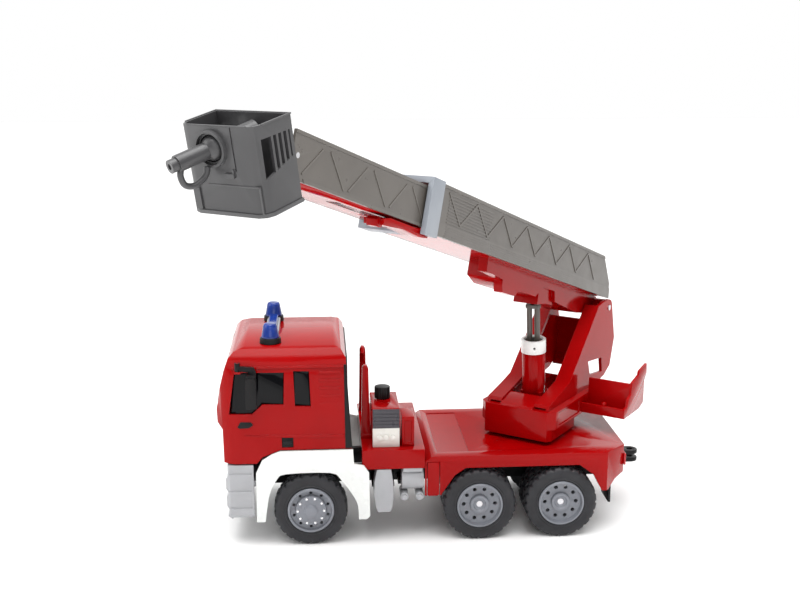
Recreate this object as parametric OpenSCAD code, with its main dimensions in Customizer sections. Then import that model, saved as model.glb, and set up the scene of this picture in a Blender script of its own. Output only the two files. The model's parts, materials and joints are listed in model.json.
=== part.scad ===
// Toy fire engine with a slewing, raising and extending turntable ladder.
// Frame: +X towards the cab, +Y to the vehicle's left, +Z up, z = 0 on the ground,
// origin on the centreline under the front axle. The ladder is drawn slewed and raised.

/* [Wheels] */
// Tyre outer radius
tyre_r = 35.5; // [34:0.5:36]
// Tyre width
tyre_w = 21; // [18:0.5:22]
// Rim radius
rim_r = 22.4; // [21:0.2:24]
// Outer face of the tyres from the centreline
track_h = 76.3; // [75:0.1:77]
// Front axle to middle axle
axle_1 = 164.5; // [163:0.5:166]
// Middle axle to rear axle
axle_2 = 80.3; // [79:0.1:82]
// Axle rod radius
axle_r = 3; // [2.5:0.1:3.5]

/* [Body] */
// Top of the rear deck
deck_z = 85.7; // [85:0.1:86.4]
// Half width of the rear deck
deck_h = 72.7; // [71:0.1:74]
// Rear end of the deck
deck_end = -312; // [-316:1:-308]
// Half width of the cab side
cab_h = 74; // [73:0.1:74.5]
// Height of the cab roof
roof_z = 195.7; // [194:0.1:197]
// Tilt axis height of the cab
tilt_z = 87; // [86.5:0.1:87.5]

/* [Turntable] */
// Slew axis position along the truck
slew_x = -229; // [-231:0.5:-227]
// Angle the ladder is turned to, from straight ahead
slew_deg = 53.7; // [50:0.1:58]
// Angle the ladder is raised to
lift_deg = 18.2; // [17:0.1:19]
// Underside of the turntable
turn_z = 90; // [89.5:0.1:90.5]

/* [Ladder] */
// Length of the outer ladder section
outer_len = 361; // [358:1:364]
// Height of the outer ladder section
outer_tall = 42; // [41:0.1:43]
// Half width of the outer ladder section
outer_h = 30; // [29.8:0.1:30.2]
// Tip of the inner ladder section, measured along the outer one
inner_tip = 553; // [545:1:556]
// Rear end of the inner ladder section
inner_rear = 168; // [165:1:190]
// Nose-down angle of the basket
basket_deg = 11.1; // [10:0.1:12]

/* [Hidden] */
$fn = 64;
eps = 0.01;
mid_x = -axle_1;
rear_x = -axle_1 - axle_2;
red = "#b01418";
// boom frame origin in the turntable frame: lower rear corner of the outer ladder
boom_a = -91.6;
boom_z = 214.3;
// raise pivot, in the boom frame
piv_s = -24.8;
piv_h = -10.1;
// raise pivot, in the turntable frame
piv_a = -112;
piv_z = 197;
// strut foot, in the turntable frame, and its lean
foot_a = -2;
foot_z = 112;
strut_deg = 4.06;
// basket frame origin in the turntable frame: middle of the top front edge
bask_a = 472.9;
bask_z = 425.3;
bw = 31.1;
bd = 37;
bh = 58;

// extrude a side-view outline (x, z) across y0..y1
module ey(y0, y1) translate([0, y1, 0]) rotate([90, 0, 0]) linear_extrude(y1 - y0) children();
// extrude a front-view outline (y, z) along x0..x1
module ex(x0, x1) translate([x0, 0, 0]) rotate([90, 0, 90]) linear_extrude(x1 - x0) children();
module box(a, b) translate(a) cube(b - a);
module both() { children(); mirror([0, 1, 0]) children(); }
module ycyl(x, z, r, y0, y1) translate([x, y1, z]) rotate([90, 0, 0]) cylinder(r = r, h = y1 - y0);
module tt() translate([slew_x, 0, 0]) rotate([0, 0, slew_deg]) children();
module bm() tt() translate([boom_a, 0, boom_z]) rotate([0, -lift_deg, 0]) children();
module bk() tt() translate([bask_a, 0, bask_z]) rotate([0, basket_deg, 0]) children();
module st() tt() translate([foot_a, 0, foot_z]) rotate([0, strut_deg, 0]) children();
// a bar between two points of a side view
module bar2(p, q, w) {
  d = q - p;
  translate(p) rotate(atan2(d[1], d[0])) translate([0, -w / 2]) square([norm(d), w]);
}

/* ---------------- chassis ---------------- */
module chassis_frame() color("#3a3632") difference() {
  union() {
    both() box([-304, 22, 46], [58, 29, 62]);
    for (x = [50, -70, -118, -300]) box([x - 4, -24, 47], [x + 4, 24, 61]);
    box([slew_x - 22, -24, 48], [slew_x + 22, 24, 60]);
    // axle hangers
    for (x = [0, mid_x, rear_x]) both() ey(21, 30) polygon([[x - 14, 50], [x + 14, 50], [x + 7, 29], [x - 7, 29]]);
    // front crossmember, tilt lugs
    box([50, -30, 52], [58, 30, 74]);
    both() ey(24, 29.5) polygon([[56, 73], [56, 60], [64, 60], [74, 72], [77, 80], [81, 84], [83.4, 86], [83.4, 88.4], [81.6, 90.2], [78.4, 90.2], [76.6, 88], [75, 84], [64, 74]]);
    // turntable boss and deck posts
    translate([slew_x, 0, 56]) cylinder(r = 16, h = 26.6);
    for (x = [-131, -206, -286]) both() box([x - 4, 22, 60], [x + 4, 29, 82.6]);
    // carriers for the air tank, the silencer and the wheel-arch trims
    both() { box([-108, 28, 50], [-86, 50.3, 54]); box([-82, 28, 50], [-60, 56, 54]); box([38.6, 28, 53], [46, 40, 57]); box([-46, 28, 50], [-39, 40, 54]); }
  }
  for (x = [0, mid_x, rear_x]) ycyl(x, tyre_r, axle_r + 0.06, -40, 40);
  ycyl(80, tilt_z, 1.55, -32, 32);
  translate([slew_x, 0, 40]) cylinder(r = 6.06, h = 60);
}
module tilt_pin() color("silver") both() ycyl(80, tilt_z, 1.55, 19, 35);
module front_bumper() color("#b4b4b6") {
  difference() {
    ey(-75, 75) polygon([[54, 30], [58, 26.5], [76, 26.5], [79.5, 31], [78, 38], [80.5, 41], [80.5, 50], [78, 55], [81, 58], [81, 68], [78, 73], [79, 76], [79, 82.6], [54, 82.6]]);
    box([50, -71, 26], [75, 71, 79]);
    box([50, -71, 20], [62, 71, 90]);
    // rounded lower corners
    both() ex(50, 90) polygon([[69, 20], [69, 26], [75.5, 33], [80, 33], [80, 20]]);
    both() translate([0, 0, 20]) linear_extrude(70) polygon([[76, 76], [82, 70], [90, 70], [90, 80], [76, 80]]);
    // room for the tilt lugs
    both() box([60, 22, 72], [77.4, 31, 84]);
    both() box([60, 22, 79.4], [84, 31, 84]);
    both() box([72, 50, 56], [90, 68, 70]);
    box([76.4, -40, 38], [90, 40, 52]);
    // grooves round the ends
    both() for (z = [74.1, 56.8, 39.3]) box([56, 74.2, z - 0.9], [90, 80, z + 0.9]);
  }
  both() box([52, 30, 60], [58, 71.5, 66]);
  both() box([52, 69.5, 60], [56, 72, 66]);
}
module headlights() color("#dfe6ea") both() box([72, 50, 56], [80.4, 68, 70]);
// white wheel-arch trims over the front wheels
module fenders() color("white") both() {
  ey(74, 76.6) fender_side();
  // arch liner
  ey(40, 74.1) intersection() { fender_side(); offset(delta = 2.2) fender_arch(); }
}
module fender_side() difference() {
  polygon([[52, 25], [51.6, 75], [45.6, 87.5], [36, 93.5], [28, 96.4], [-41.2, 96.4], [-42, 82], [-51.6, 79.8], [-56.4, 72.5], [-57.2, 28], [-54, 25]]);
  fender_arch();
}
// smooth open curve through a list of points
function cr(a, b, c, d, t) = 0.5 * (2 * b + (c - a) * t + (2 * a - 5 * b + 4 * c - d) * t * t + (3 * b - a - 3 * c + d) * t * t * t);
function curve(p, n = 3) = concat([for (i = [0:len(p) - 2], k = [0:n - 1]) cr(p[max(i - 1, 0)], p[i], p[i + 1], p[min(i + 2, len(p) - 1)], k / n)], [p[len(p) - 1]]);
module fender_arch() polygon(curve([[44.5, 20], [41.2, 43.6], [38, 56.9], [31.9, 68], [23.2, 73.4], [-18.9, 73.6], [-29.4, 66.2], [-39.8, 51.5], [-45.5, 38.9], [-46.3, 20]]));
module engine_block() color("#5a5b5e") {
  box([-34, -20, 60], [34, 20, 84]);
  box([-26, -12, 84], [26, 12, 94]);
  for (i = [0:4]) translate([-20 + i * 10, 0, 94]) cylinder(r = 3.4, h = 5);
  both() for (i = [0:3]) ycyl(-22 + i * 14, 76, 3, 19, 25);
  both() for (x = [-20, 12]) box([x, 19, 62], [x + 8, 28, 66]);
}

/* ---------------- body behind the cab ---------------- */
module mid_body() color(red) {
  difference() {
    box([-110.6, -74, 75], [-50, 74, 94]);
    box([-108, -71.5, 70], [-52.6, 71.5, 91.5]);
  }
  both() box([-107.9, 21, 62], [-102, 30, 76]);
  both() box([-60, 21, 62], [-54, 30, 76]);
  both() for (x = [-104, -56]) box([x - 2, 21, 75], [x + 2, 71.5, 91.6]);
}
module ladder_rest() color(red) {
  both() ey(32.4, 39) polygon([[-50, 94], [-60, 94], [-59, 112], [-58, 166], [-56.6, 168.7], [-53.4, 168.7], [-52, 166], [-51, 112]]);
  both() ex(-56.6, -53.4) polygon([[32.5, 150], [28.5, 163], [32.5, 168.7], [36, 168.7]]);
  box([-60, -39, 94], [-50, 39, 99]);
}
module water_tank() color(red) difference() {
  box([-87, 9, 94], [-60.2, 63.2, 132.6]);
  box([-84.5, 11.5, 91], [-62.7, 60.7, 130.1]);
  translate([-72, 28, 120]) cylinder(r = 6.05, h = 20);
}
module filler_cap() color("#1c1c1e") translate([-72, 28, 0]) {
  translate([0, 0, 122]) cylinder(r = 5.7, h = 12);
  translate([0, 0, 132.9]) cylinder(r = 7.2, h = 11.6);
  for (i = [0:17]) rotate(i * 20) translate([7, -0.5, 133.2]) cube([0.7, 1, 11]);
}
module pump_panel() color("#a9b2bd") {
  box([-86.6, 63.2, 94], [-60.6, 64.6, 132]);
  for (i = [0:4]) box([-86, 64.5, 114.6 + i * 3.5], [-61.2, 65.2, 116.8 + i * 3.5]);
  for (x = [-80, -73.5, -67]) ycyl(x, 104, 2.6, 64.5, 66.4);
}
module side_locker() color(red) difference() {
  box([-101, 36, 94], [-89, 64, 124]);
  box([-98.6, 38, 92], [-91.4, 61.6, 121.6]);
  box([-98.4, 62.9, 98], [-91.6, 65, 120]);
}
module silencer() color("#c2c4c6")
  ey(56, 74.5) polygon([[-64, 74.4], [-61.6, 62], [-61.1, 50], [-62.8, 36], [-65, 30.6], [-77, 30.6], [-79.2, 36], [-80.4, 50], [-79.8, 62], [-78, 74.4]]);
module air_tanks() color("#c9ccce") {
  translate([-99, 52, 0]) rotate([0, 0, 0]) {
    translate([-10.6, 10, 62]) rotate([0, 90, 0]) cylinder(r = 11.6, h = 21.2);
  }
  box([-108.5, 54, 71], [-89.5, 73.2, 75]);
  for (x = [-106, -91]) { ycyl(x, 45.4, 4, 50, 72); ycyl(x, 45.4, 2.6, 72, 74.5); }
}
// rear deck: one moulding with skirts, wheel arches and a slot for each outrigger
function arch() = [[-128.2, 48.8], [-139.8, 66], [-150.5, 73.4], [-262.5, 73.4], [-276.8, 63], [-284.5, 48.2]];
module rear_deck() color(red) difference() {
  union() {
    translate([0, 0, 82.6]) linear_extrude(deck_z - 82.6) polygon([[-118, -deck_h], [-118, deck_h], [deck_end + 22, deck_h], [deck_end, deck_h - 22], [deck_end, 22 - deck_h], [deck_end + 22, -deck_h]]);
    ey(-deck_h, deck_h) polygon([[-118.5, 82], [-118.5, deck_z], [-118, deck_z], [-110.8, 81], [-110.8, 78]]);
    // side skirts, cut to the wheel arches
    both() ey(deck_h - 2.6, deck_h) polygon(concat([[-110.8, 80.4], [-110.8, 46], [-126.5, 46]], arch(), [[-285.5, 46], [deck_end + 21.6, 46], [deck_end + 21.6, 83], [-119, 83]]));
    // arch lips turned inwards
    both() ey(deck_h - 14, deck_h - 2.5) polygon(concat(arch(), [[-287.2, 49.6], [-279, 65], [-263.4, 76], [-149.7, 76], [-137.8, 67.8], [-125.6, 49.8]]));
    // corner panels and rear wall
    both() translate([0, 0, 46]) linear_extrude(37) polygon([[deck_end + 22, deck_h], [deck_end, deck_h - 22], [deck_end + 2.6, deck_h - 23.1], [deck_end + 22.1, deck_h - 3.6]]);
    box([deck_end, -deck_h + 22.4, 56], [deck_end + 2.6, deck_h - 22.4, 83]);
  }
  translate([slew_x, 0, 70]) cylinder(r = 10, h = 30);
  // recessed cross panel
  box([-154.5, -60, deck_z - 0.8], [-123.5, 60, deck_z + 3]);
  both() box([-125.4, 57, 44], [-112.6, 80, 80.4]);
  box([-320, -9, 40], [-305, 9, 62.6]);
  ey(-80, 80) polygon([[-291, 45], [-301, 54], [-312, 57], [-320, 57], [-320, 40], [-291, 40]]);
}
module tail_lights() color("#c8161a") both() {
  box([deck_end - 2.2, 34, 64], [deck_end, 52, 76]);
  box([deck_end - 1.4, 22, 66], [deck_end, 31, 74]);
}
module mudflaps() color("#1a1a1a") both() box([-297.4, 33, 28.8], [-295, 61.5, 82.6]);
module tow_jaw() color("#2a2a2c") difference() {
  union() {
    box([-332, -8, 50], [-304, 8, 62]);
    translate([-332, 0, 50]) cylinder(r = 8, h = 12);
  }
  translate([-332, 0, 40]) cylinder(r = 3, h = 40);
  box([-345, -12, 54], [-322, 12, 58]);
}
module bearing_ring() color("#1b1b1d") difference() {
  translate([slew_x, 0, deck_z]) cylinder(r = 33, h = 4);
  translate([slew_x, 0, deck_z - 1]) cylinder(r = 20, h = 8);
}

/* ---------------- wheels ---------------- */
module axle(x) color("#b9bcc0") ycyl(x, tyre_r, axle_r, -72, 72);
module tyre(y0, y1) rotate([90, 0, 0]) translate([0, 0, -y1]) rotate_extrude($fn = 96) polygon([
  [rim_r, 1.5], [rim_r + 2.4, 0], [tyre_r - 4.5, 0], [tyre_r - 1, 1.6], [tyre_r, 4], [tyre_r, y1 - y0 - 4], [tyre_r - 1, y1 - y0 - 1.6],
  [tyre_r - 4.5, y1 - y0], [rim_r + 2.4, y1 - y0], [rim_r, y1 - y0 - 1.5]]);
module tyre_single(x) color("#29282c") both() translate([x, 0, tyre_r]) tyre(track_h - tyre_w, track_h);
module tyre_twin(x) color("#29282c") both() translate([x, 0, tyre_r]) { tyre(track_h - tyre_w, track_h); tyre(track_h - 2 * tyre_w - 1, track_h - tyre_w - 1); }
// front rim: domed hub with a ring of holes
module rim_front() translate([0, track_h, tyre_r]) rotate([-90, 0, 0]) difference() {
  rotate_extrude($fn = 96) polygon([[axle_r, -20], [axle_r + 5, -20], [axle_r + 5, -9], [19.5, -9], [19.5, -20], [rim_r, -20], [rim_r, 0.4], [rim_r - 1, 1], [20.2, 1],
    [19.6, -2.4], [15.4, -3], [14.6, 0.4], [11, 0.6], [6.6, 1.6], [6.4, 3], [4.6, 3.8], [0, 3.8], [0, -4.4], [axle_r, -4.4]]);
  for (i = [0:9]) rotate(i * 36 + 18) translate([17.2, 0, -30]) cylinder(r = 1.5, h = 40);
}
// rear rim: deep dish with a raised inner ring
module rim_rear() translate([0, track_h, tyre_r]) rotate([-90, 0, 0]) difference() {
  rotate_extrude($fn = 96) polygon([[axle_r, -41], [axle_r + 5, -41], [axle_r + 5, -11], [18.8, -11], [18.8, -41], [rim_r, -41], [rim_r, 0.2], [rim_r - 1, 0.8], [20.6, 0.8],
    [19.8, -4.6], [9.6, -5.8], [9, -2.6], [6.4, -2.2], [5.4, -3.6], [4, -3.6], [3.4, -4.4], [axle_r, -4.4]]);
  for (i = [0:9]) rotate(i * 36) translate([15.4, 0, -30]) cylinder(r = 1.9, h = 40);
}
module rims(x, twin) color("#97999d") both() translate([x, 0, 0]) if (twin) rim_rear(); else rim_front();

/* ---------------- cab ---------------- */
cab_side = [[82, 84], [82.5, 117], [88, 121], [88.5, 134], [84.6, 156], [79.4, 176], [75.4, 187], [70, 192.4], [60, roof_z], [-24, roof_z], [-31, 193], [-35.4, 186],
  [-37.4, 150], [-40.2, 97], [28, 97], [45, 90.4], [50.5, 84]];
module cab_plan_cut() both() {
  // tumblehome of the upper sides and the rounded roof edge
  ex(-60, 110) polygon([[cab_h, 134], [cab_h - 1.2, 172], [cab_h - 3, 181], [67, 188.5], [62, 193.4], [56.6, roof_z + 0.2], [56.6, 230], [110, 230], [110, 134]]);
  // rounded front corners
  translate([0, 0, 80]) linear_extrude(130) polygon([[91, 54], [87.2, 58], [82.8, 67], [76, 72.6], [70, cab_h + 0.2], [70, 90], [100, 90], [100, 54]]);
}
module cab_hollow() difference() {
  ey(-cab_h + 2.4, cab_h - 2.4) polygon([[79.4, 80], [79.8, 118], [85.2, 122], [85.6, 133], [81.8, 155], [76.6, 175], [72.8, 184], [68, 189.4], [59, roof_z - 2.6], [-23, roof_z - 2.6],
    [-28.6, 191], [-33, 184], [-34.8, 150], [-38.6, 80]]);
  both() ex(-60, 110) polygon([[cab_h - 2.6, 134], [cab_h - 3.8, 171], [cab_h - 5.6, 179.6], [65, 186.4], [60, 191], [55.6, roof_z - 2.6], [55.6, 230], [110, 230], [110, 134]]);
  both() translate([0, 0, 80]) linear_extrude(130) polygon([[88, 53], [84.6, 56.6], [80.6, 65], [75, 69.8], [69, cab_h - 2.6], [69, 90], [100, 90], [100, 53]]);
}
door_win = [[69.5, 174], [23, 173.4], [24, 142], [44, 142.4], [53.8, 133.4], [75.5, 133.4]];
quarter_win = [[14.3, 174.6], [-0.5, 174.2], [-1.7, 139.8], [13.2, 140.2]];
module wind_win() polygon([[-58, 139], [-61, 152], [-60, 176], [-54, 183.5], [54, 183.5], [60, 176], [61, 152], [58, 139]]);
module cab_shell() color(red) {
  difference() {
    ey(-cab_h, cab_h) polygon(cab_side);
    cab_plan_cut();
    cab_hollow();
    ey(-90, 90) polygon(door_win);
    ey(-90, 90) polygon(quarter_win);
    ex(60, 110) wind_win();
    // rear opening, filled by the black rear panel
    ex(-60, -30) rear_win();
    // notches for the tilt lugs
    both() box([70, 18.4, 80], [90, 35.4, 91.6]);
    // handle recesses
    both() box([15.4, cab_h - 1.4, 99.4], [26.4, cab_h + 2, 109.4]);
    // front grille slots
    for (i = [0:5]) box([78, -44, 94 + i * 3.6], [84, 44, 95.6 + i * 3.6]);
  }
  // tilt lugs
  both() for (y = [30.8, 19.3]) difference() {
    ey(y, y + 3.4) polygon([[77, 84.4], [82.4, 84.4], [82.4, 94], [77, 94]]);
    ycyl(80, tilt_z, 1.6, 0, 50);
  }
  // louvre ribs behind the side windows
  both() for (i = [0:4]) box([-31, cab_h - 2.2, 141.4 + i * 7.7], [-10, cab_h - 0.2, 143.4 + i * 7.7]);
  // belt crease and drip rail
  both() ey(cab_h - 0.5, cab_h + 0.5) polygon([[62, 112.6], [-33.2, 111.4], [-33.2, 108.6], [14, 109.4]]);
  both() box([-33.2, cab_h - 3.6, 177.6], [72, cab_h - 1.2, 179.4]);
  // mirror brackets
  both() { box([63, 70.5, 174.8], [69, 80, 176.8]); translate([66, 77.4, 176]) cylinder(r = 1.2, h = 9); }
}
module rear_win() polygon([[-66, 101], [66, 101], [66, 176], [58, 184], [-58, 184], [-66, 176]]);
module windows() color("#16181a") {
  both() intersection() {
    ey(60, 80) offset(delta = 1) union() { polygon(door_win); polygon(quarter_win); }
    ex(-60, 110) polygon([[71.4, 128], [71.4, 134], [70.2, 171], [68.4, 179.6], [67.4, 179.6], [69.2, 171], [70.4, 134], [70.4, 128]]);
    cab_hollow();
  }
  intersection() {
    ex(60, 110) offset(delta = 0.9) wind_win();
    ey(-63, 63) polygon([[85.1, 136], [81.8, 155], [76.6, 175], [73.2, 183.1], [72.2, 185.2], [71.2, 184.8], [72, 183], [75.5, 174.8], [80.7, 154.8], [84, 136]]);
    cab_hollow();
  }
}
module cab_interior() color("#2c2d30") {
  both() { box([-20, 20, 104], [14, 58, 122]); box([-30, 20, 104], [-20, 58, 162]); box([-29, 28, 162], [-22, 50, 176]); }
  box([50, -66, 112], [74, 66, 136]);
  ey(-66, 66) polygon([[44, 112], [50, 112], [50, 136], [46, 130]]);
  box([-32, -68, 100], [60, 68, 104]);
}
module steering_wheel() color("#1d1d1f") translate([36, 40, 136]) rotate([0, -55, 0]) {
  rotate_extrude($fn = 64) translate([11, 0]) circle(r = 1.3, $fn = 20);
  for (i = [0:2]) rotate(i * 120) box([1.5, -1, -0.8], [10.4, 1, 0.8]);
  translate([0, 0, -10.8]) cylinder(r = 2.4, h = 12.2);
}
module cab_rear_panel() color("#1e1b18") {
  ex(-37, -34.8) rear_win();
  both() intersection() {
    ey(70, 80) polygon([[-33.4, 180], [-35.6, 180], [-40.6, 97.6], [-34, 97.6]]);
    ex(-60, 0) polygon([[cab_h, 90], [cab_h, 134], [cab_h - 1.2, 172], [cab_h - 3, 181], [cab_h - 2, 181.4], [cab_h - 0.4, 172], [cab_h + 0.8, 134], [cab_h + 0.8, 90]]);
  }
}
module cab_handles() color("#17181a") both() {
  box([15.5, cab_h - 1.4, 99.5], [26.3, cab_h - 0.6, 109.3]);
  box([17, cab_h - 0.7, 103], [25, cab_h + 0.9, 105.4]);
  ey(cab_h, cab_h + 0.8) polygon([[68, 121], [66, 119.6], [57, 120], [53, 123], [55, 125.6], [65, 126]]);
}
module light_bar() color("#9a9da2") {
  box([29, -38, roof_z], [42, 38, 200.6]);
  box([31, -34, 200.5], [40, 34, 205]);
  both() translate([36, 45.5, roof_z]) cylinder(r = 10.4, h = 5.6);
}
module beacon_domes() color("#2c5fd0") both() translate([36, 45.5, roof_z + 5.6]) {
  cylinder(r1 = 8.8, r2 = 7, h = 9);
  translate([0, 0, 9]) intersection() { sphere(r = 7); translate([0, 0, -0.01]) cylinder(r = 9, h = 4.6); }
}
module mirror_geo() difference() {
  union() {
    translate([66, 77.4, 177]) cylinder(r = 2.6, h = 8);
    ey(75.6, 79.4) polygon([[66, 178], [66, 182], [51, 180.6], [48.6, 176], [49, 172], [54, 172], [56, 176]]);
    box([48.6, 77, 171], [57.4, 87, 174]);
    ey(80, 89) polygon([[48.6, 143.6], [58, 143], [58.6, 146], [58, 171], [56, 173], [50, 173], [48.4, 170]]);
  }
  box([40, 81.4, 145.4], [50, 87.8, 169.6]);
  translate([66, 77.4, 170]) cylinder(r = 1.26, h = 20);
}

/* ---------------- turntable ---------------- */
module turntable_base() color(red) tt() difference() {
  union() {
    translate([0, 0, 102]) linear_extrude(18.6) polygon([[40.3, -34], [40.3, 34], [33.3, 41], [-52, 41], [-88, 34], [-88, -34], [-52, -41], [33.3, -41]]);
    translate([0, 0, turn_z]) linear_extrude(12.1) polygon([[40.3, -34], [40.3, 34], [35, 37.5], [-20, 37.5], [-44, 24], [-44, -24], [-20, -37.5], [35, -37.5]]);
    ey(-18, 18) polygon([[40.3, 120], [39, 122.4], [20, 128.6], [16, 128.6], [14, 120]]);
    translate([0, 0, turn_z - 0.3]) cylinder(r = 19.6, h = 3);
  }
  // well between the cheeks, open at the top
  box([-85, -17.6, 98], [13, 17.6, 140]);
  box([-85, 20, 106], [10, 38, 117.6]);
  mirror([0, 1, 0]) box([-85, 20, 106], [10, 38, 117.6]);
  // lightening pocket under the front
  box([16, -28, 84], [37, 28, 118]);
  translate([0, 0, 80]) cylinder(r = 6, h = 30);
  ycyl(foot_a, foot_z, 1.6, -30, 30);
  both() box([-24, 39.9, 104.6], [26, 44, 118]);
}
module strut_pin() color("#b9bcc0") tt() ycyl(foot_a, foot_z, 1.6, -30, 30);
module slew_pin() color("#b9bcc0") tt() {
  translate([0, 0, 66]) cylinder(r = 6, h = 32);
  translate([0, 0, 98]) cylinder(r = 9, h = 3);
}
module cheek_side() polygon([[36, 120.6], [34, 126], [8, 132], [-14, 138], [-45, 167], [-84, 204], [-97, 205.8], [-112, 206.2], [-118, 204.2], [-121, 200], [-131, 160], [-121, 131], [-105, 123], [-88, 120.6]]);
module cheek_plates() color(red) { cheek_pair(); cheek_wall(); }
module cheek_pair() tt() both() difference() {
  union() {
    ey(30.5, 34) cheek_side();
    // front flange band
    ey(18, 34) difference() {
      cheek_side();
      translate([-3.2, -3.2]) cheek_side();
      polygon([[-84.5, 240], [-84.5, 100], [-160, 100], [-160, 240]]);
      polygon([[60, 118], [60, 122.6], [-100, 122.6], [-100, 118]]);
    }
    ycyl(piv_a, piv_z, 8.6, 18, 34);
    ey(18, 31) bar2([-112, 197], [-86, 201], 5);
  }
  ey(0, 60) polygon([[-60, 149], [-96, 145], [-99, 129], [-66, 133]]);
  ycyl(piv_a, piv_z, 3, 10, 40);
}
// wall that joins the cheeks at the back
module cheek_wall() tt() ey(-31, 5) polygon([[-116, 124], [-124.5, 135], [-126, 160], [-122.5, 178], [-120, 178], [-123, 160], [-121.8, 136], [-113, 125]]);
module operator_tray() color(red) tt() {
  box([-84, 41, 104], [-28, 85.6, 106.4]);
  box([-30.4, 41, 106.3], [-28, 85.6, 114]);
  ey(41, 85.6) polygon([[-45.5, 106.3], [-47, 136], [-49.4, 136], [-50.4, 106.3]]);
  ey(85.5, 88) polygon([[-28, 104], [-28, 113.6], [-36, 114.6], [-38.6, 122], [-45, 125], [-48, 137], [-66, 141], [-68, 145], [-88, 148.6], [-89, 138], [-83, 132], [-82, 108], [-70, 104]]);
  translate([-38, 62, 106.3]) cylinder(r = 2.6, h = 6);
  translate([-38, 62, 112.2]) sphere(r = 3.2);
}
module boom_pin() color("#b9bcc0") tt() ycyl(piv_a, piv_z, 3, -35, 35);
module strut_housing() color(red) st() difference() {
  union() {
    translate([0, 0, 16]) cylinder(r = 11.6, h = 42);
    both() ey(8.4, 11.4) polygon([[-3.4, -2.6], [3.4, -2.6], [5, 4], [8, 17], [-8, 17], [-5, 4]]);
    translate([0, 0, 6]) cylinder(r = 11.4, h = 10);
  }
  translate([0, 0, 19]) cylinder(r = 10, h = 60);
  translate([0, 0, 4.6]) cylinder(r = 9.95, h = 16);
  ycyl(0, 0, 1.66, -20, 20);
}
module strut_collar() color("#f2f0ee") st() difference() {
  translate([0, 0, 58]) cylinder(r = 12.6, h = 13.5);
  translate([0, 0, 50]) cylinder(r = 10, h = 30);
  for (d = [0:2]) rotate(d * 120 + 30) translate([0, 0, 64.6]) rotate([0, 90, 0]) cylinder(r = 1.3, h = 20);
}
module strut_mid_tube() color("#8d9094") st() difference() {
  translate([0, 0, 27]) cylinder(r = 9.6, h = 43);
  translate([0, 0, 20]) cylinder(r = 8.2, h = 60);
}
module strut_rods() color("#7d7a78") st() {
  both() translate([0, 4.3, 40]) cylinder(r = 2.9, h = 71);
  box([-3.4, -7, 104], [3.4, 7, 107.6]);
  box([-2.6, -5, 40], [2.6, 5, 43]);
}

/* ---------------- ladder ---------------- */
function zig(i, p, lo, hi, s0) = [s0 - i * p / 2, i % 2 == 0 ? hi : lo];
module outer_ladder() color("#77706a") bm() {
  both() {
    ey(27.6, outer_h) polygon([[-28, 0], [-25, 16], [0.5, outer_tall], [outer_len, outer_tall], [outer_len, 0]]);
    // lower and upper rails standing proud
    ey(outer_h - 0.1, outer_h + 0.7) polygon([[-28, 0], [-26, 11], [outer_len, 11], [outer_len, 0]]);
    ey(outer_h - 0.1, outer_h + 0.7) polygon([[-2, 39.4], [0.5, outer_tall], [outer_len, outer_tall], [outer_len, 39.4]]);
    ey(outer_h - 0.1, outer_h + 0.6) for (i = [0:12]) bar2(zig(i, 50.6, 14, 37, 350), zig(i + 1, 50.6, 14, 37, 350), 1.6);
    // inner guide ledge
    box([20, 25.9, outer_tall - 3], [outer_len, 27.7, outer_tall]);
  }
  for (i = [0:13]) translate([16 + i * 25.6, 0, 40.2]) ycyl(0, 0, 1.4, -27.8, 27.8);
}
module ladder_collar() color("#9aa3ac") bm() {
  difference() {
    box([outer_len, -31.6, -2.2], [380, 31.6, 43.4]);
    box([outer_len - 1, -27.2, 2.4], [390, 27.2, 38.4]);
    box([outer_len - 1, 7, -6], [390, 27, 2.6]);
  }
  ycyl(369, -1.2, 1.15, 6.9, 27.1);
}
module boom_bracket() color(red) bm() difference() {
  union() {
    box([-20, -27.5, 0], [outer_len, 27.5, 2]);
    ey(-16.6, 16.6) polygon([[-30, -2], [-27, 0.1], [212, 0.1], [212, -14], [196, -20], [128, -20], [112, -9], [84, -9], [80, -19.4], [22, -23.4], [-16, -19.4], [-27, -18]]);
    ycyl(piv_s, piv_h, 8.6, -16.6, 16.6);
    ey(9, 18) polygon([[242, 0.1], [241, -12.5], [231, -12.5], [206, -14.6], [200, 0.1]]);
    ey(9, 18) polygon([[208, 0.1], [206, -20], [203, -26], [176, -26], [170, -20], [166, 0.1]]);
    // head over the strut rods
    ey(-13, 13) polygon([[78.5, 0.1], [78.5, -23], [92, -23], [113.6, -26.6], [114, 0.1]]);
  }
  // cavity for the strut head, with room for it to wander
  ey(-10.4, 10.4) polygon([[86, -9.4], [79.8, -40], [111, -40], [107, -9.4]]);
  ycyl(piv_s, piv_h, 3.06, -40, 40);
  box([20, -14, -17], [76, 14, -2]);
  box([132, -14, -17], [196, 14, -2]);
}
module inner_ladder() color("#66625e") bm() {
  both() {
    ey(23.4, 25.4) difference() {
      polygon([[inner_rear, 3.6], [inner_rear, 36.4], [inner_tip, 36.4], [inner_tip, 22], [inner_tip - 13, 3.6]]);
      translate([pin_s, pin_h]) circle(r = 2);
    }
    ey(25.3, 25.9) union() {
      polygon([[inner_rear, 3.6], [inner_rear, 6], [538, 6], [536, 3.6]]);
      polygon([[inner_rear, 36.4], [inner_rear, 34], [inner_tip, 34], [inner_tip, 36.4]]);
      for (i = [0:5]) { bar2([484 - i * 56, 9], [464 - i * 56, 30.4], 1.4); bar2([511.4 - i * 56, 30.6], [489.5 - i * 56, 8.4], 1.4); }
      bar2([540, 9], [520.5, 30], 1.4);
    }
  }
  for (i = [0:13]) ycyl(185 + i * 25.6, 33, 1.4, -23.6, 23.6);
}
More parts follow.
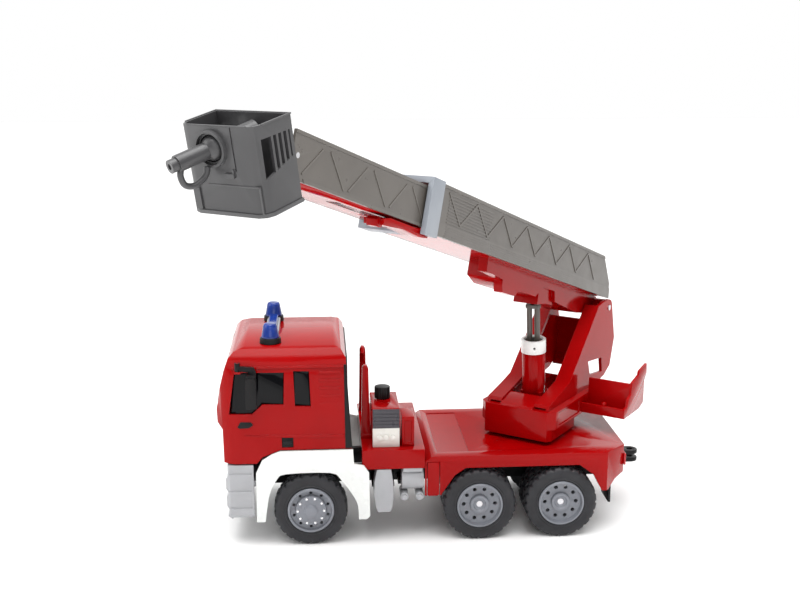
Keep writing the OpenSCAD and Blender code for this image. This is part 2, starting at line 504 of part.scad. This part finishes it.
module inner_floor() color(red) bm() difference() {
  box([inner_rear, -23.4, 3.6], [536, 23.4, 5.2]);
  for (i = [0:6]) box([220 + i * 40, -5, 2], [226 + i * 40, 5, 8]);
}
module lock_lever() color(red) bm() difference() {
  union() {
    ey(8, 26) polygon([[366, -3.6], [366, -0.6], [372, 1.2], [424, 1.6], [433, -0.6], [432, -5], [420, -4.4], [400, -2.6], [374, -4]]);
    ey(12, 22) polygon([[426, 1], [433, 1], [436, -1.6], [434, -6.4], [428, -6.6]]);
    ycyl(369, -1.2, 2.6, 8, 26);
  }
  ycyl(369, -1.2, 1.2, 0, 40);
}

/* ---------------- basket ---------------- */
pin_s = 547;
pin_h = 20;
pin_da = boom_a + pin_s * cos(lift_deg) - pin_h * sin(lift_deg) - bask_a;
pin_dz = boom_z + pin_s * sin(lift_deg) + pin_h * cos(lift_deg) - bask_z;
pin_x = pin_da * cos(basket_deg) - pin_dz * sin(basket_deg);
pin_z = pin_da * sin(basket_deg) + pin_dz * cos(basket_deg);
module basket_plan(o) polygon([[-bd + o, -bw + o], [-bd + o, bw - o], [-7, bw - o], [-2.2, bw - o * 0.8 - 2.2], [-o, bw - 7], [-o, -bw + 7], [-2.2, -bw + o * 0.8 + 2.2], [-7, -bw + o]]);
module basket_shell() color("#64615f") bk() difference() {
  union() {
    translate([0, 0, -bh]) linear_extrude(bh) basket_plan(0);
    translate([0, 0, -bh - 1]) linear_extrude(2.6) offset(delta = 0.9) basket_plan(0);
    // hinge lugs
    for (y = [-22.4, 17.4]) ey(y, y + 5) polygon([[-bd + 1, pin_z + 10], [pin_x - 2, pin_z + 5], [pin_x - 5, pin_z], [pin_x - 2, pin_z - 5], [-bd + 1, pin_z - 10]]);
  }
  translate([0, 0, -bh + 2]) linear_extrude(bh) basket_plan(2);
  // side windows with slats
  both() ey(26, 40) difference() {
    polygon([[-5.4, -9], [-34, -9.6], [-34, -27], [-5.2, -35]]);
    for (i = [0:3]) polygon([[-14.6 - i * 5.2, 0], [-16.8 - i * 5.2, 0], [-16.8 - i * 5.2, -40], [-14.6 - i * 5.2, -40]]);
  }
  // seat of the water monitor in the front wall
  translate([-10, -5.6, -14.6]) rotate([0, 90, 0]) cylinder(r = 10, h = 20);
  // hinge pin bore
  ycyl(pin_x, pin_z, 2, -40, 40);
  // panel seam and gate line
  box([-0.7, 10.8, -29], [2, 11.8, 1]);
  box([-0.7, -22.3, -55], [2, -21.5, -42]);
}
module basket_pin() color("#b9bcc0") bm() ycyl(pin_s, pin_h, 1.95, -25.4, 25.4);
module mon() bk() translate([-3, -5.6, -14.6]) children();
module monitor_ring() color("#6a6866") mon() rotate([0, 90, 0]) difference() {
  union() { translate([0, 0, -1]) cylinder(r = 10, h = 5); translate([0, 0, 3]) cylinder(r = 12, h = 3.4); }
  translate([0, 0, -5]) cylinder(r = 9.35, h = 6.4);
  translate([0, 0, 1]) cylinder(r = 9.06, h = 10);
  translate([0, 0, 4]) cylinder(r = 10.4, h = 10);
}
module monitor_barrel() color("#5f5d5b") {
  mon() rotate([0, 8, -19.5]) rotate([0, 90, 0]) difference() {
    union() {
      sphere(r = 9);
      translate([0, 0, -31]) cylinder(r = 6.6, h = 31);
      cylinder(r = 5.6, h = 29);
      translate([0, 0, 28]) cylinder(r = 4.4, h = 6);
    }
    translate([0, 0, -12]) cylinder(r = 2, h = 60);
  }
  // upright stub pins the barrel swings on
  mon() for (z = [7.5, -9.2]) translate([0, 0, z]) cylinder(r = 0.9, h = 1.7);
}
module outrigger(x) {
  box([x + 1.4, 6, 66.4], [x + 11, 71.4, 76]);
  box([x + 0.4, 70, 46.4], [x + 12, 72.6, 80]);
  box([x + 1.6, 62, 44.4], [x + 10.8, 70, 47.6]);
  box([x + 4.6, 64, 47.5], [x + 7.8, 68, 67]);
}

chassis_frame();
front_bumper();
fenders();
headlights();
engine_block();
mid_body();
rear_deck();
ladder_rest();
water_tank();
filler_cap();
pump_panel();
side_locker();
silencer();
air_tanks();
tail_lights();
mudflaps();
tow_jaw();
bearing_ring();
tilt_pin();
axle(0);  // axle_front
rims(0, false);  // rims_front
tyre_single(0);  // tyres_front
axle(mid_x);  // axle_mid
rims(mid_x, true);  // rims_mid
tyre_twin(mid_x);  // tyres_mid
axle(rear_x);  // axle_rear
rims(rear_x, true);  // rims_rear
tyre_twin(rear_x);  // tyres_rear
cab_shell();
windows();
cab_interior();
steering_wheel();
cab_rear_panel();
cab_handles();
light_bar();
beacon_domes();
color("#1d1d1f") mirror_geo();  // mirror_left
color("#1d1d1f") mirror([0, 1, 0]) mirror_geo();  // mirror_right
turntable_base();
cheek_plates();
operator_tray();
boom_pin();
slew_pin();
strut_pin();
strut_housing();
strut_collar();
strut_mid_tube();
strut_rods();
outer_ladder();
ladder_collar();
boom_bracket();
inner_ladder();
inner_floor();
lock_lever();
basket_shell();
basket_pin();
monitor_ring();
monitor_barrel();
color(red) outrigger(-125.2);  // outrigger_left
color(red) mirror([0, 1, 0]) outrigger(-125.2);  // outrigger_right
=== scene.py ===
import bpy, bmesh, json, math
from mathutils import Vector, Matrix

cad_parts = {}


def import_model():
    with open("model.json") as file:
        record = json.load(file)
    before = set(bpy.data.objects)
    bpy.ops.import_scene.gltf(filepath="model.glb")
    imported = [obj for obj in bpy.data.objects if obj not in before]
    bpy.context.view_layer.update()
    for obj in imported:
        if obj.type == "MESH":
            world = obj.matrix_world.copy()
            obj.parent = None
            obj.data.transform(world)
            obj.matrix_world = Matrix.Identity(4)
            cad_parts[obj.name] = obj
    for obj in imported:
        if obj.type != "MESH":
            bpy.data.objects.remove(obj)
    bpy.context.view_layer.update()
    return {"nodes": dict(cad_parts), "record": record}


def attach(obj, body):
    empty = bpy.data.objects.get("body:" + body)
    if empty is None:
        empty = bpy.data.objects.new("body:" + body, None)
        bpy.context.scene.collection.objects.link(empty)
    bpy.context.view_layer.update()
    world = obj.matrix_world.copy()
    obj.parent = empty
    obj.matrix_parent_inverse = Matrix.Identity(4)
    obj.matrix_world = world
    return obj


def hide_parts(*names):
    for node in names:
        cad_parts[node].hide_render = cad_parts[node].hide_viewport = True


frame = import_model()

N, REC = frame["nodes"], frame["record"]
scene = bpy.context.scene
BODY = {n: b for b, ns in REC["behaviour"]["bodies"].items() for n in ns}
SLOT = {s["node"]: s["material_slot"] for s in REC["subparts"]}

# ------------------------------------------------------------------ camera
yaw, pitch, roll = -0.070846, 0.222810, -0.001123
rz = Matrix.Rotation(yaw, 3, "Z")
r, f, u = rz @ Vector((-1, 0, 0)), rz @ Vector((0, -1, 0)), Vector((0, 0, 1))
f2, u2 = f * math.cos(pitch) - u * math.sin(pitch), u * math.cos(pitch) + f * math.sin(pitch)
r3, u3 = r * math.cos(roll) + u2 * math.sin(roll), u2 * math.cos(roll) - r * math.sin(roll)
cam = bpy.data.objects.new("camera", bpy.data.cameras.new("camera"))
cam.data.lens, cam.data.sensor_width = 51.06, 36
cam.matrix_world = Matrix.Translation((-0.013482, 1.103291, 0.475755)) @ Matrix((r3, u3, -f2)).transposed().to_4x4()
scene.collection.objects.link(cam)
scene.camera = cam

# --------------------------------------------------------------- materials
def mat(name, col, rough=0.3, metal=0.0, coat=0.0, coat_rough=0.05, var=0.08, vscale=40.0, bump=0.02, bscale=900.0, rvar=0.06,
        trans=0.0, alpha=1.0, edge=0.0, ior=1.47, spec=0.5, soft=0.0, split=None):
    m = bpy.data.materials.new(name); m.use_nodes = True
    nt = m.node_tree; b = nt.nodes["Principled BSDF"]
    tc = nt.nodes.new("ShaderNodeTexCoord")
    n1 = nt.nodes.new("ShaderNodeTexNoise"); n1.inputs["Scale"].default_value = vscale; n1.inputs["Detail"].default_value = 4
    nt.links.new(tc.outputs["Object"], n1.inputs["Vector"])
    cr = nt.nodes.new("ShaderNodeValToRGB")
    c0 = [max(0, c * (1 - var)) for c in col] + [1]; c1 = [min(1, c * (1 + var)) for c in col] + [1]
    cr.color_ramp.elements[0].position, cr.color_ramp.elements[0].color = 0.3, c0
    cr.color_ramp.elements[1].position, cr.color_ramp.elements[1].color = 0.7, c1
    nt.links.new(n1.outputs["Fac"], cr.inputs["Fac"])
    out = cr.outputs["Color"]
    if edge:
        # painted highlight: slightly paler along sharp edges, where light catches the edge
        g = nt.nodes.new("ShaderNodeNewGeometry"); er = nt.nodes.new("ShaderNodeValToRGB")
        er.color_ramp.elements[0].position = 0.52; er.color_ramp.elements[1].position = 0.62
        nt.links.new(g.outputs["Pointiness"], er.inputs["Fac"])
        mx = nt.nodes.new("ShaderNodeMix"); mx.data_type = "RGBA"
        ml = nt.nodes.new("ShaderNodeMath"); ml.operation = "MULTIPLY"; ml.inputs[1].default_value = edge
        nt.links.new(er.outputs["Color"], ml.inputs[0]); nt.links.new(ml.outputs[0], mx.inputs["Factor"])
        nt.links.new(out, mx.inputs["A"]); mx.inputs["B"].default_value = [min(1, c * 1.5 + 0.06) for c in col] + [1]
        out = mx.outputs["Result"]
    if split:
        # second colour above a height on the part
        sx = nt.nodes.new("ShaderNodeSeparateXYZ"); nt.links.new(tc.outputs["Object"], sx.inputs["Vector"])
        gt = nt.nodes.new("ShaderNodeMath"); gt.operation = "GREATER_THAN"; gt.inputs[1].default_value = split[0]
        nt.links.new(sx.outputs["Z"], gt.inputs[0])
        mx = nt.nodes.new("ShaderNodeMix"); mx.data_type = "RGBA"; nt.links.new(gt.outputs[0], mx.inputs["Factor"])
        nt.links.new(out, mx.inputs["A"]); mx.inputs["B"].default_value = list(split[1]) + [1]
        out = mx.outputs["Result"]
    nt.links.new(out, b.inputs["Base Color"])
    n2 = nt.nodes.new("ShaderNodeTexNoise"); n2.inputs["Scale"].default_value = vscale * 2.3; n2.inputs["Detail"].default_value = 5
    nt.links.new(tc.outputs["Object"], n2.inputs["Vector"])
    mr = nt.nodes.new("ShaderNodeMapRange")
    mr.inputs["From Min"].default_value, mr.inputs["From Max"].default_value = 0.3, 0.7
    mr.inputs["To Min"].default_value, mr.inputs["To Max"].default_value = max(0.02, rough - rvar), rough + rvar
    nt.links.new(n2.outputs["Fac"], mr.inputs["Value"]); nt.links.new(mr.outputs["Result"], b.inputs["Roughness"])
    n3 = nt.nodes.new("ShaderNodeTexNoise"); n3.inputs["Scale"].default_value = bscale; n3.inputs["Detail"].default_value = 3
    nt.links.new(tc.outputs["Object"], n3.inputs["Vector"])
    bp = nt.nodes.new("ShaderNodeBump"); bp.inputs["Strength"].default_value = bump; bp.inputs["Distance"].default_value = 0.0004
    nt.links.new(n3.outputs["Fac"], bp.inputs["Height"]); nt.links.new(bp.outputs["Normal"], b.inputs["Normal"])
    if soft:
        sb = nt.nodes.new("ShaderNodeBevel"); sb.samples = 4; sb.inputs["Radius"].default_value = soft
        nt.links.new(sb.outputs["Normal"], bp.inputs["Normal"])
    b.inputs["Metallic"].default_value = metal
    b.inputs["Coat Weight"].default_value = coat; b.inputs["Coat Roughness"].default_value = coat_rough
    b.inputs["IOR"].default_value = ior; b.inputs["Specular IOR Level"].default_value = spec
    b.inputs["Transmission Weight"].default_value = trans
    b.inputs["Alpha"].default_value = alpha
    return m

M = {
    "body_red": mat("red_plastic", (0.31, 0.0003, 0.0008), 0.12, var=0.05, bump=0.02, edge=0.05, ior=1.30, spec=0.30, rvar=0.03, soft=0.0006),
    "fender_white": mat("white_plastic", (0.80, 0.82, 0.80), 0.28, coat=0.2, var=0.03),
    "silver_plastic": mat("silver_plastic", (0.36, 0.365, 0.38), 0.34, metal=0.15, var=0.06, bump=0.05, edge=0.15),
    "rim_grey": mat("wheel_grey_plastic", (0.20, 0.21, 0.235), 0.36, metal=0.2, var=0.06, bump=0.05, edge=0.2),
    "tyre_black": mat("tyre_rubber", (0.012, 0.012, 0.015), 0.55, var=0.25, bump=0.25, bscale=600, rvar=0.1, edge=0.25),
    "black_plastic": mat("black_plastic", (0.006, 0.0055, 0.006), 0.34, ior=1.36, spec=0.3, var=0.2, bump=0.15, bscale=1500, edge=0.15),
    "dark_glazing": mat("smoked_glazing", (0.002, 0.002, 0.003), 0.05, var=0.1, bump=0.0, rvar=0.02, ior=1.36, spec=0.3),
    "lamp_clear": mat("lamp_clear", (0.75, 0.79, 0.82), 0.1, trans=0.5, var=0.05, bump=0.3, bscale=250, rvar=0.03),
    "lamp_red": mat("lamp_red", (0.55, 0.01, 0.015), 0.12, trans=0.2, var=0.08, bump=0.3, bscale=300, rvar=0.03),
    "beacon_blue": mat("beacon_blue", (0.012, 0.040, 0.26), 0.07, trans=0.2, var=0.25, vscale=120, bump=0.15, bscale=300, rvar=0.03),
    "ladder_grey": mat("ladder_grey_plastic", (0.088, 0.077, 0.066), 0.33, coat=0.15, var=0.07, bump=0.08, edge=0.25),
    "steel_pin": mat("steel", (0.6, 0.6, 0.62), 0.25, metal=1.0, var=0.05, bump=0.05),
}
M["basket_grey"] = mat("basket_grey_plastic", (0.052, 0.051, 0.053), 0.34, coat=0.15, var=0.07, bump=0.08, edge=0.3)
M["collar_grey"] = mat("collar_grey_plastic", (0.24, 0.26, 0.29), 0.36, var=0.05, bump=0.05, edge=0.2)
M["panel_dark"] = mat("panel_plastic", (0.74, 0.73, 0.68), 0.3, var=0.03, bump=0.06, split=(0.113, (0.045, 0.042, 0.052)))
M["chrome_plate"] = mat("chrome_plate", (0.78, 0.79, 0.80), 0.18, metal=0.7, var=0.04, bump=0.03)
M["floor"] = mat("pale_floor", (0.95, 0.95, 0.945), 0.45, var=0.01, vscale=6, bump=0.01, bscale=80)
NODE_MAT = {"pump_panel": "panel_dark", "basket_shell": "basket_grey", "monitor_ring": "basket_grey", "monitor_barrel": "basket_grey", "ladder_collar": "collar_grey"}

def setmat(o, key):
    o.data.materials.clear(); o.data.materials.append(M[key])

# ------------------------------------------------- CAD nodes with soft edges
def refine(node, width=0.0006, seg=2, angle=28):
    src = N[node]; me = src.data.copy(); me.name = node + "_moulded"
    o = bpy.data.objects.new(node + "_moulded", me)
    scene.collection.objects.link(o)
    bm = bmesh.new(); bm.from_mesh(me)
    bmesh.ops.remove_doubles(bm, verts=bm.verts, dist=2e-6)
    if width: bmesh.ops.dissolve_limit(bm, angle_limit=math.radians(0.2), verts=bm.verts, edges=bm.edges)
    else:
        for e in bm.edges: e.smooth = not (len(e.link_faces) == 2 and e.calc_face_angle(0) > math.radians(angle))
    bm.to_mesh(me); bm.free()
    for p in me.polygons: p.use_smooth = True
    if not width:
        setmat(o, NODE_MAT.get(node, SLOT[node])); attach(o, BODY[node]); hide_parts(node)
        return o
    b = o.modifiers.new("soft_edges", "BEVEL"); b.width = width; b.segments = seg; b.limit_method = "ANGLE"
    b.angle_limit = math.radians(angle); b.use_clamp_overlap = True; b.harden_normals = True; b.miter_outer = "MITER_ARC"
    setmat(o, NODE_MAT.get(node, SLOT[node]))
    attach(o, BODY[node]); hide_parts(node)
    return o

BEVEL = {"cab_shell": 0, "rear_deck": 0.0010, "turntable_base": 0.0011, "cheek_plates": 0, "operator_tray": 0.0008, "mid_body": 0.0009, "water_tank": 0.0012,
         "side_locker": 0.0009, "ladder_rest": 0.0009, "fenders": 0.0012, "front_bumper": 0.0010, "outer_ladder": 0, "inner_ladder": 0, "ladder_collar": 0.0008,
         "boom_bracket": 0, "basket_shell": 0, "silencer": 0.0009, "pump_panel": 0.0004, "mirror_left": 0.0010, "mirror_right": 0.0010, 
         "lock_lever": 0.0007, "cab_interior": 0.0015, "outrigger_left": 0.0007, "outrigger_right": 0.0007, "chassis_frame": 0.0006, "engine_block": 0.0008,
         "air_tanks": 0.0009, "strut_housing": 0.0005, "strut_collar": 0.0008, "strut_mid_tube": 0.0005, "strut_rods": 0.0004, "filler_cap": 0.0005, "headlights": 0.0009,
         "tail_lights": 0.0007, "mudflaps": 0.0005, "tow_jaw": 0.0006, "cab_rear_panel": 0.0005, "cab_handles": 0.0004, "inner_floor": 0.0004, "rims_front": 0.0003,
         "rims_mid": 0.0003, "rims_rear": 0.0003, "monitor_ring": 0, "monitor_barrel": 0, "steering_wheel": 0.0003, "bearing_ring": 0.0005,
         "beacon_domes": 0.0004, "windows": 0.0003}
for n, o in N.items():
    setmat(o, NODE_MAT.get(n, SLOT[n]))
P = {n: refine(n, w) for n, w in BEVEL.items()}

# ------------------------------------------------------------ mesh helpers
def obj(name, bm, key, body, rep=(), smooth=True, bev=0.0):
    me = bpy.data.meshes.new(name); bmesh.ops.recalc_face_normals(bm, faces=bm.faces); bm.to_mesh(me); bm.free()
    o = bpy.data.objects.new(name, me); scene.collection.objects.link(o)
    for p in me.polygons: p.use_smooth = smooth
    setmat(o, key)
    if bev:
        b = o.modifiers.new("soft_edges", "BEVEL"); b.width = bev; b.segments = 2; b.limit_method = "ANGLE"; b.angle_limit = math.radians(30); b.harden_normals = True
    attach(o, body)
    if rep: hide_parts(*rep)
    return o

# ------------------------------------------------------------------- tyres
def tyre(bm, cx, cz, y0, y1, inner=0.0224, R=0.0355, n=168):
    w = y1 - y0
    prof = [(inner, 0.0012, 0), (inner + 0.0012, 0.0002, 0), (inner + 0.0026, 0, 0), (inner + 0.0030, 0.0005, 0), (R - 0.0062, 0.0002, 0), (R - 0.0046, 0, 0), (R - 0.0022, 0.0006, 0),
            (R - 0.0007, 0.0016, 1), (R, 0.0030, 1), (R, w * 0.30, 1), (R - 0.0011, w * 0.31, 0), (R - 0.0011, w * 0.36, 0), (R, w * 0.37, 2), (R, w * 0.63, 2), (R - 0.0011, w * 0.64, 0),
            (R - 0.0011, w * 0.69, 0), (R, w * 0.70, 3), (R, w - 0.0030, 3), (R - 0.0007, w - 0.0016, 3), (R - 0.0022, w - 0.0006, 0), (R - 0.0046, w, 0), (R - 0.0062, w - 0.0002, 0),
            (inner + 0.0030, w - 0.0005, 0), (inner + 0.0026, w, 0), (inner + 0.0012, w - 0.0002, 0), (inner, w - 0.0012, 0)]
    rings = []
    for i in range(n):
        a = 2 * math.pi * i / n; ring = []
        for (rr, y, t) in prof:
            if t:
                ph = (i + {1: 0, 2: 3, 3: 0}[t]) % 7
                if ph in (0, 1): rr -= 0.0011
            ring.append(bm.verts.new((cx + rr * math.cos(a), y0 + y, cz + rr * math.sin(a))))
        rings.append(ring)
    m = len(prof)
    for i in range(n):
        A, B = rings[i], rings[(i + 1) % n]
        for j in range(m):
            bm.faces.new((A[j], A[(j + 1) % m], B[(j + 1) % m], B[j]))
for nm, x, ys in (("front", 0.0, ((0.0553, 0.0763),)), ("mid", -0.1645, ((0.0553, 0.0763), (0.0333, 0.0543))), ("rear", -0.2448, ((0.0553, 0.0763), (0.0333, 0.0543)))):
    bm = bmesh.new()
    for (a, b) in ys:
        tyre(bm, x, 0.0355, a, b); tyre(bm, x, 0.0355, -b, -a)
    o = obj("tyres_" + nm + "_treaded", bm, "tyre_black", "wheels_" + nm, ("tyres_" + nm,), smooth=True)
    es = o.modifiers.new("edges", "EDGE_SPLIT"); es.split_angle = math.radians(32)

# front wheel nuts
def cyl(bm, c, ax, r0, r1, h, n=20):
    ax = Vector(ax).normalized(); rot = ax.to_track_quat("Z", "Y").to_matrix().to_4x4()
    bmesh.ops.create_cone(bm, cap_ends=True, segments=n, radius1=r0, radius2=r1, depth=h, matrix=Matrix.Translation(Vector(c) + ax * h / 2) @ rot)
bm = bmesh.new()
for sy in (1, -1):
    for i in range(10):
        a = 2 * math.pi * i / 10
        cyl(bm, (0.0128 * math.cos(a), sy * 0.0765, 0.0355 + 0.0128 * math.sin(a)), (0, sy, 0), 0.0017, 0.0013, 0.0016, 6)
obj("wheel_nuts_front", bm, "chrome_plate", "wheels_front", bev=0.0003)

# --------------------------------------------- frames of the ladder parts
TH, PH, BD = math.radians(53.7), math.radians(18.2), math.radians(11.1)
def tt(a, b, z): return Vector((-229 + a * math.cos(TH) - b * math.sin(TH), a * math.sin(TH) + b * math.cos(TH), z)) / 1000
def bmf(s, w, h): return tt(-91.6 + s * math.cos(PH) - h * math.sin(PH), w, 214.3 + s * math.sin(PH) + h * math.cos(PH))
def bk(x, y, z): return tt(472.9 + x * math.cos(BD) + z * math.sin(BD), y, 425.3 - x * math.sin(BD) + z * math.cos(BD))
def mon(q, z, y=0.0):
    a = math.radians(-19.5)
    return bk(-3 + q * math.cos(a) - y * math.sin(a), -5.6 + q * math.sin(a) + y * math.cos(a), -14.6 + z)
def hexa(bm, f, a, b):
    # box between two corners given in a part's own frame
    v = [bm.verts.new(f(x, y, z)) for x in (a[0], b[0]) for y in (a[1], b[1]) for z in (a[2], b[2])]
    for q in ((0, 1, 3, 2), (4, 6, 7, 5), (0, 4, 5, 1), (2, 3, 7, 6), (0, 2, 6, 4), (1, 5, 7, 3)):
        bm.faces.new([v[i] for i in q])
def tube(bm, pts, rad, n=16):
    rings = []
    for i, p in enumerate(pts):
        d = (pts[min(i + 1, len(pts) - 1)] - pts[max(i - 1, 0)]).normalized()
        s1 = d.cross(Vector((0.31, -0.4, 0.86))).normalized(); s2 = d.cross(s1)
        rings.append([bm.verts.new(p + (s1 * math.cos(2 * math.pi * k / n) + s2 * math.sin(2 * math.pi * k / n)) * rad) for k in range(n)])
    for A, B in zip(rings, rings[1:]):
        for k in range(n): bm.faces.new((A[k], A[(k + 1) % n], B[(k + 1) % n], B[k]))
    bm.faces.new(rings[0]); bm.faces.new(rings[-1])
def curve(P, k=8):
    out = []
    for i in range(len(P) - 1):
        a, b, c_, d = P[max(i - 1, 0)], P[i], P[i + 1], P[min(i + 2, len(P) - 1)]
        for j in range(k):
            t = j / k
            out.append(0.5 * (2 * b + (c_ - a) * t + (2 * a - 5 * b + 4 * c_ - d) * t * t + (3 * b - a - 3 * c_ + d) * t ** 3))
    return out + [P[-1]]

# hose loop and tip ring of the monitor
bm = bmesh.new()
tube(bm, curve([mon(25.5, -6), mon(27.5, -12), mon(25.5, -18.5), mon(19.5, -20.6), mon(13, -18.4), mon(9.5, -15.2), mon(8, -11)]), 0.0021)
obj("monitor_loop", bm, "basket_grey", "monitor", bev=0.0003)
# raised frames on the basket faces
bm = bmesh.new()
for a, b in (((-0.3, -14, -39.4), (0.5, 28.5, -38.2)), ((-0.3, 27.6, -56), (0.5, 28.8, -38.2)), ((-0.3, -27, -56), (1.2, -21.5, -41)), ((-0.3, 2.4, -33.4), (1.6, 9.8, -30.4)), ((-0.3, 8.4, -31), (1.2, 9.8, -27.6))):
    hexa(bm, bk, a, b)
for a, b in (((-36.4, -31.7, -0.6), (-6.8, -30.6, 0.5)), ((-36.4, 30.6, -0.6), (-6.8, 31.7, 0.5)), ((-0.8, -24.2, -0.6), (0.3, 24.2, 0.5)), ((-37.6, -31.5, -0.6), (-36.4, 31.5, 0.5))):
    hexa(bm, bk, a, b)
obj("basket_trim", bm, "basket_grey", "basket", smooth=False, bev=0.0002)
# fine ribs and raised braces on the sides of the outer ladder
bm = bmesh.new()
for sy in (1, -1):
    for i in range(10):
        hexa(bm, bmf, (268, sy * 29.9, 12.6 + i * 2.5), (348, sy * 30.45, 13.4 + i * 2.5))
    for i in range(5):
        hexa(bm, bmf, (40, sy * 30.5, 1.6 + i * 1.9), (348, sy * 30.95, 2.1 + i * 1.9))
obj("ladder_ribs", bm, "ladder_grey", "boom", smooth=False)
# light bar in its colours
bm = bmesh.new()
for sy in (1, -1): cyl(bm, (0.036, sy * 0.0455, 0.1957), (0, 0, 1), 0.0104, 0.0100, 0.0056, 48)
obj("beacon_bases", bm, "black_plastic", "cab", ("light_bar",), bev=0.0008)
bm = bmesh.new(); hexa(bm, lambda x, y, z: Vector((x, y, z)) / 1000, (29, -38, 195.7), (42, 38, 200.6))
obj("beacon_bar_lower", bm, "silver_plastic", "cab", smooth=False, bev=0.0010)
bm = bmesh.new(); hexa(bm, lambda x, y, z: Vector((x, y, z)) / 1000, (31, -34, 200.5), (40, 34, 205))
obj("beacon_bar_upper", bm, "beacon_blue", "cab", smooth=False, bev=0.0012)

# ------------------------------------------------------------------- stage
bm = bmesh.new()
bmesh.ops.create_grid(bm, x_segments=2, y_segments=2, size=6)
me = bpy.data.meshes.new("floor"); bm.to_mesh(me); bm.free()
fl = bpy.data.objects.new("floor", me); scene.collection.objects.link(fl); me.materials.append(M["floor"])
w = bpy.data.worlds.new("studio"); scene.world = w; w.use_nodes = True
wt = w.node_tree; bg = wt.nodes["Background"]; bg.inputs[1].default_value = 1.0
wc = wt.nodes.new("ShaderNodeTexCoord"); ws = wt.nodes.new("ShaderNodeSeparateXYZ"); wt.links.new(wc.outputs["Generated"], ws.inputs["Vector"])
wm = wt.nodes.new("ShaderNodeMath"); wm.operation = "MULTIPLY_ADD"; wm.inputs[1].default_value = -1.0
wt.links.new(ws.outputs["Y"], wm.inputs[0]); wt.links.new(ws.outputs["Z"], wm.inputs[2])
wr = wt.nodes.new("ShaderNodeValToRGB"); wr.color_ramp.elements[0].position, wr.color_ramp.elements[0].color = 0.0, (0.30, 0.30, 0.31, 1)
wr.color_ramp.elements[1].position, wr.color_ramp.elements[1].color = 0.12, (1, 1, 1, 1)
wt.links.new(wm.outputs[0], wr.inputs["Fac"]); wt.links.new(wr.outputs["Color"], bg.inputs["Color"])
def area(name, loc, target, size, power, col=(1, 1, 1)):
    l = bpy.data.lights.new(name, "AREA"); l.energy = power; l.size = size; l.color = col
    o = bpy.data.objects.new(name, l); scene.collection.objects.link(o); o.location = loc
    o.rotation_euler = (Vector(target) - Vector(loc)).to_track_quat("-Z", "Y").to_euler()
area("key_overhead", (-0.2, 0.5, 1.7), (-0.1, 0, 0.1), 1.4, 16)
area("front_fill", (-0.1, 1.9, 0.9), (-0.1, 0, 0.2), 1.2, 6)
area("side_left", (1.5, 0.4, 0.9), (0, 0, 0.2), 0.9, 5)
sl_ = bpy.data.lights.new("soft_sun", "SUN"); sl_.energy = 1.5; sl_.angle = math.radians(50)
so_ = bpy.data.objects.new("soft_sun", sl_); scene.collection.objects.link(so_); so_.rotation_euler = (math.radians(-12), math.radians(6), 0)
scene.view_settings.view_transform = "Standard"
scene.view_settings.look = "None"
